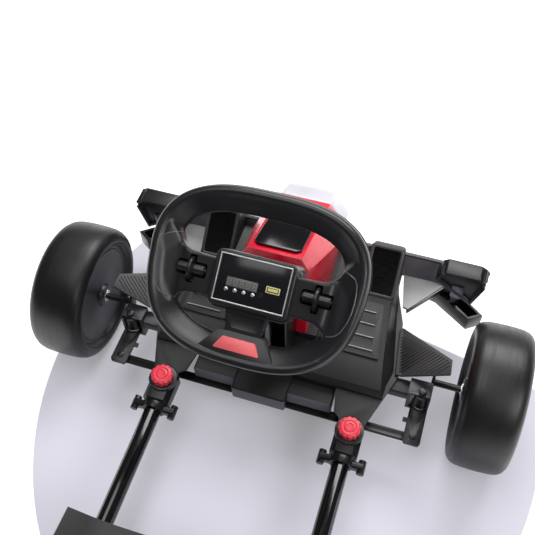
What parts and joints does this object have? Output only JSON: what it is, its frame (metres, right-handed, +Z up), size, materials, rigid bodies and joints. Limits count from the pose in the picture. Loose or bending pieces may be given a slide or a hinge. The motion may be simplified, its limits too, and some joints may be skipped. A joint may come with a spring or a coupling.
{
  "type": "child's electric drift kart",
  "caption": "Low child's electric kart with a moulded front body, steered front wheels, pedals, lamps, a console steering wheel and a sliding rear frame with a bucket seat.",
  "frame": {"origin": "on the ground, under the middle of the kart's bounding box", "axes": "+X to the driver's right, +Y forwards, +Z up"},
  "size_m": [0.7134, 1.0399, 0.4892],
  "materials": {
    "black_plastic": "satin moulded",
    "ribbed_plastic": "fine ribs",
    "gloss_black": "gloss",
    "grey_plastic": "satin moulded",
    "red_plastic": "gloss",
    "white_plastic": "gloss",
    "chrome_plastic": "bright plated",
    "display_face": "satin",
    "clear_lens": "clear",
    "black_steel": "powder coated",
    "zinc_steel": "zinc plated",
    "tyre_rubber": "smooth moulded",
    "hub_plastic": "satin moulded",
    "seat_fabric": "woven",
    "webbing": "woven webbing"
  },
  "bodies": {
    "front_frame": {"front_body": "black_plastic", "side_step_left": "ribbed_plastic", "side_step_right": "ribbed_plastic", "nose_cowl": "red_plastic", "cowl_panel": "gloss_black", "nose_cap": "white_plastic", "front_bumper": "black_steel", "headlamp_left": "black_plastic", "headlamp_right": "black_plastic", "lamp_lens_left": "clear_lens", "lamp_lens_right": "clear_lens", "front_axle_beam": "black_steel", "kingpin_left": "black_steel", "kingpin_right": "black_steel", "column_bracket": "black_steel", "tube_clamp_left": "black_plastic", "tube_clamp_right": "black_plastic"},
    "wheel_and_shaft": {"steering_wheel": "black_plastic", "steering_shaft": "zinc_steel", "display_panel": "display_face", "wheel_insert": "red_plastic"},
    "spindle": {"steering_spindle": "zinc_steel"},
    "left_knuckle": {"knuckle_left": "black_steel"},
    "right_knuckle": {"knuckle_right": "black_steel"},
    "cross_link": {"tie_rod": "black_steel"},
    "front_left_wheel": {"front_tyre_left": "tyre_rubber", "front_hub_left": "hub_plastic"},
    "front_right_wheel": {"front_tyre_right": "tyre_rubber", "front_hub_right": "hub_plastic"},
    "brake": {"brake_pedal": "gloss_black"},
    "accelerator": {"accelerator_pedal": "gloss_black"},
    "left_knob": {"clamp_knob_left": "red_plastic"},
    "right_knob": {"clamp_knob_right": "red_plastic"},
    "button_1": {"display_button_1": "chrome_plastic"},
    "button_2": {"display_button_2": "chrome_plastic"},
    "button_3": {"display_button_3": "chrome_plastic"},
    "button_4": {"display_button_4": "chrome_plastic"},
    "left_roller": {"thumb_roller_left": "black_plastic"},
    "right_roller": {"thumb_roller_right": "black_plastic"},
    "rear_half": {"rear_frame": "black_steel", "frame_tube_left": "black_steel", "frame_tube_right": "black_steel", "rear_axle": "zinc_steel", "gearbox_left": "grey_plastic", "gearbox_right": "grey_plastic", "rear_bumper": "black_steel", "seat_shell": "black_plastic", "seat_cushion": "seat_fabric", "back_cushion": "seat_fabric", "lap_belt": "webbing", "battery_box": "black_plastic", "battery": "grey_plastic", "control_box": "black_plastic", "charge_socket": "zinc_steel"},
    "rear_left_wheel": {"rear_tyre_left": "tyre_rubber", "rear_hub_left": "hub_plastic"},
    "rear_right_wheel": {"rear_tyre_right": "tyre_rubber", "rear_hub_right": "hub_plastic"},
    "power_rocker": {"power_switch": "red_plastic"},
    "direction_rocker": {"direction_switch": "red_plastic"}
  },
  "joints": [
    {"name": "steering_turn", "type": "hinge", "parent": "front_frame", "child": "wheel_and_shaft", "pos_m": [0, 0.1976, 0.3723], "axis": [0, -0.5906, 0.807], "range_deg": [-25, 25]},
    {"name": "spindle_turn", "type": "hinge", "parent": "front_frame", "child": "spindle", "pos_m": [0, 0.245, 0], "axis": [0, 0, 1], "range_deg": [-26, 26]},
    {"name": "left_knuckle_turn", "type": "hinge", "parent": "front_frame", "child": "left_knuckle", "pos_m": [-0.2253, 0.2557, 0], "axis": [0, 0, 1], "range_deg": [-20, 20]},
    {"name": "right_knuckle_turn", "type": "hinge", "parent": "front_frame", "child": "right_knuckle", "pos_m": [0.2253, 0.2557, 0], "axis": [0, 0, 1], "range_deg": [-20, 20]},
    {"name": "tie_rod_turn", "type": "hinge", "parent": "left_knuckle", "child": "cross_link", "pos_m": [-0.2253, 0.2035, 0], "axis": [0, 0, 1], "range_deg": [-20, 20]},
    {"name": "front_left_wheel_spin", "type": "hinge", "parent": "left_knuckle", "child": "front_left_wheel", "pos_m": [-0.3157, 0.28, 0.105], "axis": [1, 0, 0], "continuous": true},
    {"name": "front_right_wheel_spin", "type": "hinge", "parent": "right_knuckle", "child": "front_right_wheel", "pos_m": [0.3157, 0.28, 0.105], "axis": [1, 0, 0], "continuous": true},
    {"name": "brake_press", "type": "hinge", "parent": "front_frame", "child": "brake", "pos_m": [-0.128, 0.39163, 0.13961], "axis": [-1, 0, 0], "range_deg": [0, 8], "stiffness_Nm_per_rad": 1.5, "springref_deg": -3.44},
    {"name": "accelerator_press", "type": "hinge", "parent": "front_frame", "child": "accelerator", "pos_m": [0.128, 0.39163, 0.13961], "axis": [-1, 0, 0], "range_deg": [0, 8], "stiffness_Nm_per_rad": 1.5, "springref_deg": -3.44},
    {"name": "left_knob_turn", "type": "hinge", "parent": "front_frame", "child": "left_knob", "pos_m": [-0.1395, 0.1728, 0.11], "axis": [0, 0, 1], "range_deg": [0, 360]},
    {"name": "right_knob_turn", "type": "hinge", "parent": "front_frame", "child": "right_knob", "pos_m": [0.1395, 0.1728, 0.11], "axis": [0, 0, 1], "range_deg": [0, 360]},
    {"name": "frame_slide", "type": "slide", "parent": "front_frame", "child": "rear_half", "axis": [0, -1, 0], "range_m": [0, 0.05]},
    {"name": "rear_left_wheel_spin", "type": "hinge", "parent": "rear_half", "child": "rear_left_wheel", "pos_m": [-0.3127, -0.34, 0.115], "axis": [1, 0, 0], "continuous": true},
    {"name": "rear_right_wheel_spin", "type": "hinge", "parent": "rear_half", "child": "rear_right_wheel", "pos_m": [0.3127, -0.34, 0.115], "axis": [1, 0, 0], "continuous": true},
    {"name": "button_1_press", "type": "slide", "parent": "wheel_and_shaft", "child": "button_1", "axis": [0, 0.5906, -0.807], "range_m": [0, 0.0008], "stiffness_N_per_m": 300, "springref_m": -0.0005},
    {"name": "button_2_press", "type": "slide", "parent": "wheel_and_shaft", "child": "button_2", "axis": [0, 0.5906, -0.807], "range_m": [0, 0.0008], "stiffness_N_per_m": 300, "springref_m": -0.0005},
    {"name": "button_3_press", "type": "slide", "parent": "wheel_and_shaft", "child": "button_3", "axis": [0, 0.5906, -0.807], "range_m": [0, 0.0008], "stiffness_N_per_m": 300, "springref_m": -0.0005},
    {"name": "button_4_press", "type": "slide", "parent": "wheel_and_shaft", "child": "button_4", "axis": [0, 0.5906, -0.807], "range_m": [0, 0.0008], "stiffness_N_per_m": 300, "springref_m": -0.0005},
    {"name": "left_roller_turn", "type": "hinge", "parent": "wheel_and_shaft", "child": "left_roller", "pos_m": [-0.077, 0.20114, 0.36746], "axis": [1, 0, 0], "range_deg": [-12, 12], "stiffness_Nm_per_rad": 0.02},
    {"name": "right_roller_turn", "type": "hinge", "parent": "wheel_and_shaft", "child": "right_roller", "pos_m": [0.077, 0.20114, 0.36746], "axis": [1, 0, 0], "range_deg": [-12, 12], "stiffness_Nm_per_rad": 0.02},
    {"name": "power_switch_rock", "type": "hinge", "parent": "rear_half", "child": "power_rocker", "pos_m": [0.197, -0.111, 0.142], "axis": [1, 0, 0], "range_deg": [-8, 8]},
    {"name": "direction_switch_rock", "type": "hinge", "parent": "rear_half", "child": "direction_rocker", "pos_m": [0.197, -0.145, 0.142], "axis": [1, 0, 0], "range_deg": [-8, 8]}
  ],
  "couplings": [
    {"joint": "spindle_turn", "follows": "steering_turn", "ratio": 1},
    {"joint": "left_knuckle_turn", "follows": "steering_turn", "ratio": 0.79},
    {"joint": "right_knuckle_turn", "follows": "steering_turn", "ratio": 0.79},
    {"joint": "tie_rod_turn", "follows": "steering_turn", "ratio": -0.79}
  ]
}
